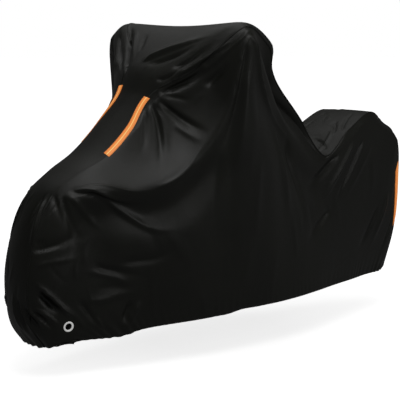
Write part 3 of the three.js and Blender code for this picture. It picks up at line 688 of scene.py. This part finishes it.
cloth_material, cloth_shader, cloth_tree = plain_material("coated_cloth", CLOTH_BLACK, CLOTH_ROUGHNESS)
cloth_weave = add_node(cloth_tree, "Group")
cloth_weave.node_tree = weave
cloth_tint = add_node(
    cloth_tree, "VectorMath", [("Scale", cloth_weave, "Shade")], {0: CLOTH_BLACK[:3]}, operation="SCALE"
)
cloth_bump = add_node(cloth_tree, "Bump", [("Height", cloth_weave, "Height")], {"Strength": 0.25, "Distance": 0.002})
feed(
    cloth_tree, cloth_shader,
    ("Base Color", cloth_tint, "Vector"), ("Roughness", cloth_weave, "Roughness"), ("Normal", cloth_bump, "Normal"),
)
cloth_shader.inputs["Sheen Weight"].default_value = 0.02

CENTRE_COLUMNS = 56
LAP_ENDS, LAP_STARTS = 3.8, 8.5  # between these places along, on the front slope, the panels only meet
LAP_FADES = (0.4, 0.2)  # places over which the lap dies away and comes back
LAP_LEAST = 0.12  # the share of the lap that is left there
lap_share = np.array([0.3, 1.0])  # the centre panel carries on past each seam by these shares of the lap
lap_hidden = smooth_step((rows_along - LAP_ENDS) / LAP_FADES[0]) * smooth_step((LAP_STARTS - rows_along) / LAP_FADES[1])
lap_shown = np.maximum(1 - lap_hidden, LAP_LEAST)
seams, laps = {}, {}  # for each side, the seam's place across, and how far the lap reaches past it
for side, hand in HANDS.items():
    seams[side] = value_at(f"seam_{hand}", rows_along)
    laps[side] = lap_shown * LAP_WIDTH / spans_at(rows_along, seams[side])
right_lap = seams[1][:, None] + lap_share[::-1] * laps[1][:, None]
left_lap = seams[-1][:, None] + lap_share * laps[-1][:, None]
centre_columns = -seams[1][:, None] + np.linspace(0, 1, CENTRE_COLUMNS) * (seams[1] + seams[-1])[:, None]
centre_across = np.concatenate([-right_lap, centre_columns, left_lap], axis=1)
centre_lift = np.concatenate([[LAP_LIFT, LAP_LIFT], np.zeros(CENTRE_COLUMNS), [LAP_LIFT, LAP_LIFT]])
centre_lift = centre_lift * (lap_shown - LAP_LEAST)[:, None]
centre_panel = cloth_piece("centre_cloth", centre_across, centre_lift, cloth_material)
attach(centre_panel, "root")
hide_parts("centre_panel")

# Each side panel reaches from its seam over the crest of the folds down to the hem. It is cut in one piece from
# the same coated cloth, with a hem turned in and sewn, and a hole for a lock eyelet near the front hem.
SIDE_COLUMNS = 114
SIDE_START = 0.06  # a side panel starts this share of a lap beyond its seam
CLOSER_FROM, CLOSER_OVER = 4.5, 2.0  # even columns at the nose, closer by the crest from here on
CLOSER_COLUMNS = ((1.05, 2.3, 0.6),)
CLOSER_COLUMNS_ALONG = 9.0  # the closer columns are spaced on the section at this place along
NEAR_HEM = 0.03  # places across
HOLE_RADIUS = 0.0155  # faces are left out this near to the eyelet's middle, under the ring's flange

side_even = np.linspace(0, 1, SIDE_COLUMNS)
close_places = even_places(
    lambda u: draped(np.full_like(u, CLOSER_COLUMNS_ALONG), u), SHOULDER_AT, HEM_AT, SIDE_COLUMNS, CLOSER_COLUMNS
)
side_close = (close_places - SHOULDER_AT) / (HEM_AT - SHOULDER_AT)
side_mix = smooth_step((rows_along[:, None] - CLOSER_FROM) / CLOSER_OVER)
side_share = side_even + (side_close - side_even) * side_mix


def near_hem(along):
    """How many metres one whole place across is, just above the hem."""
    return spans_at(along, np.full_like(along, HEM_AT - NEAR_HEM))


side_turn = HEM_AT - hem_share[1:] * HEM_TURN / near_hem(rows_along)[:, None]
side_lift = np.concatenate([np.zeros(SIDE_COLUMNS - 1), -hem_depth[1:]])[None, :]
for side, hand in HANDS.items():
    side_start = (seams[side] + SIDE_START * LAP_WIDTH / spans_at(rows_along, seams[side]))[:, None]
    across = np.concatenate([(side_start + (HEM_AT - side_start) * side_share)[:, :-1], side_turn], axis=1)
    lift = side_lift
    if side > 0:
        across, lift = -across[:, ::-1], side_lift[:, ::-1]
    side_panel = cloth_piece(f"{hand}_side_cloth", across, lift, cloth_material)
    hole = bmesh.new()
    hole.from_mesh(side_panel.data)
    hole_centre = Vector(eyelet_place(side)[0])
    inside = [face for face in hole.faces if (face.calc_center_median() - hole_centre).length < HOLE_RADIUS]
    bmesh.ops.delete(hole, geom=inside, context="FACES")
    hole.to_mesh(side_panel.data)
    hole.free()
    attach(side_panel, "root")
    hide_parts(f"{hand}_side_panel", f"eyelet_patch_{hand}")

# The reflective strips are orange tape with a pale line along the middle, sewn flat on the cloth: one over each
# seam of the front slope, and one upright on each rear corner.
TAPE_WIDTH = 0.027
TAPE_THICKNESS = 0.0008
TAPE_GAP = 0.0006
TAPE_ROWS = 90
TAPE_COLUMNS = 9
TAPES = (
    # node, side, first and last place along, place across of its middle, or 0 where it follows the seam
    ("front_strip_left", -1, 6.03, 8.02, 0),
    ("front_strip_right", 1, 6.45, 8.34, 0),
    ("rear_strip_left", -1, 19.50, 20.79, 2.085),
    ("rear_strip_right", 1, 19.50, 20.79, 2.085),
)
TAPE_ORANGE = (0.86, 0.27, 0.060, 1.0)
TAPE_PALE = (0.95, 0.62, 0.22, 1.0)
TAPE_LINE = 0.0034  # width of the pale line
TAPE_LINE_SOFT = 0.15  # each of its edges is soft over this share of it either way
TAPE_PAINTED_GLOW = 0.62  # painted glow, an even emission that stands in for the light that its beads send back

tape_material, tape_shader, tape_tree = plain_material("reflective_tape", TAPE_ORANGE, roughness=0.38)
tape_place = add_node(tape_tree, "TexCoord")
tape_split = add_node(tape_tree, "SeparateXYZ", [(0, tape_place, "UV")])
tape_off = add_node(tape_tree, "Math", [(0, tape_split, "Y")], {1: 0.5 * TAPE_WIDTH}, operation="SUBTRACT")
tape_side = add_node(tape_tree, "Math", [(0, tape_off, 0)], operation="ABSOLUTE")
tape_line = ranged(
    tape_tree, tape_side, "Value", (0.5 - TAPE_LINE_SOFT) * TAPE_LINE, (0.5 + TAPE_LINE_SOFT) * TAPE_LINE, 1.0, 0.0
)
tape_colour = add_node(tape_tree, "Mix")
tape_colour.data_type = "RGBA"
tape_colour.inputs["A"].default_value = TAPE_ORANGE
tape_colour.inputs["B"].default_value = TAPE_PALE
feed(tape_tree, tape_colour, ("Factor", tape_line, "Result"))
tape_beads = add_node(tape_tree, "TexVoronoi", [("Vector", tape_place, "UV")], {"Scale": 900.0})
tape_bump = add_node(tape_tree, "Bump", [("Height", tape_beads, "Distance")], {"Strength": 0.15, "Distance": 0.0005})
# Painted light: the tape's colours are also fed to its emission, an even glow standing in for the light that its beads
# send back.
feed(
    tape_tree, tape_shader,
    ("Base Color", tape_colour, "Result"), ("Emission Color", tape_colour, "Result"), ("Normal", tape_bump, "Normal"),
)
tape_shader.inputs["Emission Strength"].default_value = TAPE_PAINTED_GLOW


def widths_at(along, across):
    """How many metres one whole place across is, measured square to the line that runs along the cover there."""
    step = 2e-2
    run_across = (draped(along, across + step) - draped(along, across - step)) / (2 * step)
    run_along = unit(draped(along + step, across) - draped(along - step, across))
    return np.linalg.norm(np.cross(run_across, run_along), axis=-1)


def beside_middle(side, place, along, away):
    """Places across at a distance away from a tape's middle line, by the width that one place has half way there."""
    seam = value_at(f"seam_{HANDS[side]}", along)
    line = -side * (seam if place == 0 else np.full_like(seam, place))
    return line + away / widths_at(along, line + 0.5 * away / widths_at(along, line))


for strip_node, side, tape_start, tape_end, line_place in TAPES:
    tape_along = np.linspace(tape_start, tape_end, TAPE_ROWS)[:, None]
    across = beside_middle(side, line_place, tape_along, np.linspace(-0.5, 0.5, TAPE_COLUMNS) * TAPE_WIDTH)
    points = cloth(tape_along, across, TAPE_GAP + TAPE_THICKNESS)
    tape = sheet_piece(f"{strip_node}_tape", points, tape_material, TAPE_THICKNESS)
    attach(tape, "root")
    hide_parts(strip_node)

# The lock eyelets are two bright metal rings, one near the front hem on each side. Each is a spool of two flanges
# pressed together round the edge of the hole in the cloth.
RING_PROFILE = (
    # radius, height above the outer face of the cloth
    (0.0125, -0.0020), (0.0125, 0.0006), (0.0127, 0.0016), (0.0134, 0.0024), (0.0146, 0.0028), (0.0162, 0.0026),
    (0.0176, 0.0019), (0.0186, 0.0010), (0.0189, 0.0004), (0.0186, 0.0002), (0.0134, 0.0003), (0.0131, -0.0016),
    (0.0175, -0.0018), (0.0180, -0.0022), (0.0174, -0.0026), (0.0133, -0.0029), (0.0127, -0.0026),
)
RING_STEPS = 64
RING_BRIGHT = (0.94, 0.94, 0.92, 1.0)
RING_ROUGHNESS = 0.28
RING_SCUFFED = (0.22, 0.42)  # from its smoothest to its roughest places
RING_PAINTED_REFLECTION = 0.30  # painted reflection, an even emission that stands in for the bright studio that the polished flange mirrors, beyond the soft boxes

ring_material, ring_shader, ring_tree = plain_material("eyelet_metal", RING_BRIGHT, RING_ROUGHNESS)
ring_shader.inputs["Metallic"].default_value = 0.3
# Painted reflection: the ring glows evenly in its own colour, standing in for the bright studio that its polished
# flange would mirror.
ring_shader.inputs["Emission Color"].default_value = RING_BRIGHT
ring_shader.inputs["Emission Strength"].default_value = RING_PAINTED_REFLECTION
ring_place = add_node(ring_tree, "TexCoord")
ring_scuffs = add_node(ring_tree, "TexNoise", [("Vector", ring_place, "Object")], {"Scale": 900.0, "Detail": 4.0})
ring_rough = ranged(ring_tree, ring_scuffs, "Fac", 0.0, 1.0, *RING_SCUFFED)
feed(ring_tree, ring_shader, ("Roughness", ring_rough, "Result"))


def turned_ring(profile, centre, axis):
    """Points of a closed profile of radius and height turned round an axis: centre + radius * (cos, sin) + height
    * axis, with a grid of quads that closes on itself both ways."""
    radius, height = np.array(profile).T[:, None, :]
    turn = np.linspace(0, 2 * np.pi, RING_STEPS, endpoint=False)[:, None, None]
    first = unit(np.cross(axis, [0.0, 0.0, 1.0]))
    second = np.cross(axis, first)
    points = centre + radius[..., None] * (np.cos(turn) * first + np.sin(turn) * second) + height[..., None] * axis
    i, j = np.meshgrid(np.arange(RING_STEPS), np.arange(len(profile)), indexing="ij")
    at = lambda a, b: (a % RING_STEPS) * len(profile) + b % len(profile)
    return points, np.stack([at(i, j), at(i + 1, j), at(i + 1, j + 1), at(i, j + 1)], -1).reshape(-1, 4)


for side, hand in HANDS.items():
    ring_centre, ring_axis = eyelet_place(side)
    ring_points, ring_faces = turned_ring(RING_PROFILE, ring_centre, ring_axis)
    ring = new_piece(f"eyelet_ring_bright_{hand}", ring_points, ring_faces, ring_material)
    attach(ring, "root")
    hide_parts(f"eyelet_ring_{hand}")

# All the stitches are of one black thread: two rows along each lapped seam, one above the turned hem, and one near
# each edge of every strip.
STITCH_PITCH = 0.0055
STITCH_LENGTH = 0.0040
STITCH_RADIUS = 0.00042
STITCH_SIDES = 5
STITCH_RINGS = (
    # share of the length, share of the radius, height
    (-0.5, 0.35, -0.0004), (-0.25, 1.0, 0.0), (0.25, 1.0, 0.0), (0.5, 0.35, -0.0004),
)
STITCH_LIFT = 0.0002
SEWN_FROM, SEWN_TO = 0.03, LAST_SECTION - 0.02  # the places along from which to which seams and hems are sewn
HEM_SEWN_AT = 0.85  # the share of the turned hem at which it is sewn
LAP_SEWN_AT = (0.35, 0.85)  # and of the lap
TAPE_SEWN_IN = 0.0022  # from a tape's edge to its stitches
SEAM_SAMPLES = 2600
TAPE_SAMPLES = 400
THREAD_BLACK = (0.012, 0.012, 0.012, 1.0)

thread_material, thread_shader, thread_tree = plain_material("sewing_thread", THREAD_BLACK, roughness=0.6)
thread_place = add_node(thread_tree, "TexCoord")
thread_twist = add_node(thread_tree, "TexNoise", [("Vector", thread_place, "Object")], {"Scale": 1800.0})
thread_bump = add_node(thread_tree, "Bump", [("Height", thread_twist, "Fac")], {"Strength": 0.3, "Distance": 0.0003})
feed(thread_tree, thread_shader, ("Normal", thread_bump, "Normal"))


def stitch_row(along, across, lift):
    """Points and faces of stitches along a line of places on the cloth: small tapered rods, one each pitch, whose
    rings are centre + share * length along the line, with a circle of the ring's size round it."""
    line = cloth(along, across, lift)
    run = run_lengths(line)
    count = int(run[-1] / STITCH_PITCH)
    middles = (np.arange(count) + 0.5) * STITCH_PITCH
    at = lambda lengths, values: np.stack([np.interp(lengths, run, values[:, k]) for k in range(3)], -1)
    facing = unit(at(middles, outward(draped, along, across)))
    centre = at(middles, line)
    way = unit(at(middles + 1e-3, line) - at(middles - 1e-3, line))
    beside = unit(np.cross(facing, way))
    share, size, height = np.array(STITCH_RINGS).T
    turn = np.linspace(0, 2 * np.pi, STITCH_SIDES, endpoint=False)
    circle = np.cos(turn)[:, None] * beside[:, None, None] + np.sin(turn)[:, None] * facing[:, None, None]
    points = (
        centre[:, None, None] + way[:, None, None] * (share * STITCH_LENGTH)[:, None, None]
        + facing[:, None, None] * height[:, None, None] + circle * (size * STITCH_RADIUS)[:, None, None]
    )
    k, j = np.meshgrid(np.arange(len(share) - 1), np.arange(STITCH_SIDES), indexing="ij")
    here, after = k * STITCH_SIDES, (j + 1) % STITCH_SIDES
    sides = np.stack([here + j, here + STITCH_SIDES + j, here + STITCH_SIDES + after, here + after], -1)
    each = (np.arange(count) * len(share) * STITCH_SIDES)[:, None]
    quads = (each[..., None] + sides.reshape(1, -1, 4)).reshape(-1, 4).tolist()
    ring = np.arange(STITCH_SIDES)
    ends = (each + ring).tolist() + (each + (len(share) - 1) * STITCH_SIDES + ring[::-1]).tolist()
    return points.reshape(-1, 3), quads + ends


def stitches(name, rows):
    """One piece of several rows of stitches."""
    points, faces, start = [], [], 0
    for along, across, lift in rows:
        row_points, row_faces = stitch_row(along, across, lift)
        points.append(row_points)
        faces += [[start + corner_number for corner_number in face] for face in row_faces]
        start += len(row_points)
    piece = new_piece(name, np.concatenate(points), faces, thread_material)
    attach(piece, "root")
    return piece


fine_along = np.linspace(SEWN_FROM, SEWN_TO, SEAM_SAMPLES)
hem_stitch_across = HEM_AT - HEM_SEWN_AT * HEM_TURN / near_hem(fine_along)
for side, hand in HANDS.items():
    fine_seam = value_at(f"seam_{hand}", fine_along)
    fine_lap = LAP_WIDTH / spans_at(fine_along, fine_seam)
    seam_rows = [
        (fine_along[part_of_line], -side * (fine_seam + share * fine_lap)[part_of_line], LAP_LIFT + STITCH_LIFT)
        for part_of_line in (fine_along < LAP_ENDS, fine_along > LAP_STARTS) for share in LAP_SEWN_AT
    ]
    stitches(f"{hand}_seam_stitches", seam_rows)
    stitches(f"{hand}_hem_stitches", [(fine_along, -side * hem_stitch_across, STITCH_LIFT)])
for strip_node, side, tape_start, tape_end, line_place in TAPES:
    tape_fine = np.linspace(tape_start, tape_end, TAPE_SAMPLES)
    tape_rows = [
        (
            tape_fine, beside_middle(side, line_place, tape_fine, edge * (0.5 * TAPE_WIDTH - TAPE_SEWN_IN)),
            TAPE_GAP + TAPE_THICKNESS + STITCH_LIFT,
        )
        for edge in (-1, 1)
    ]
    stitches(f"{strip_node}_stitches", tape_rows)
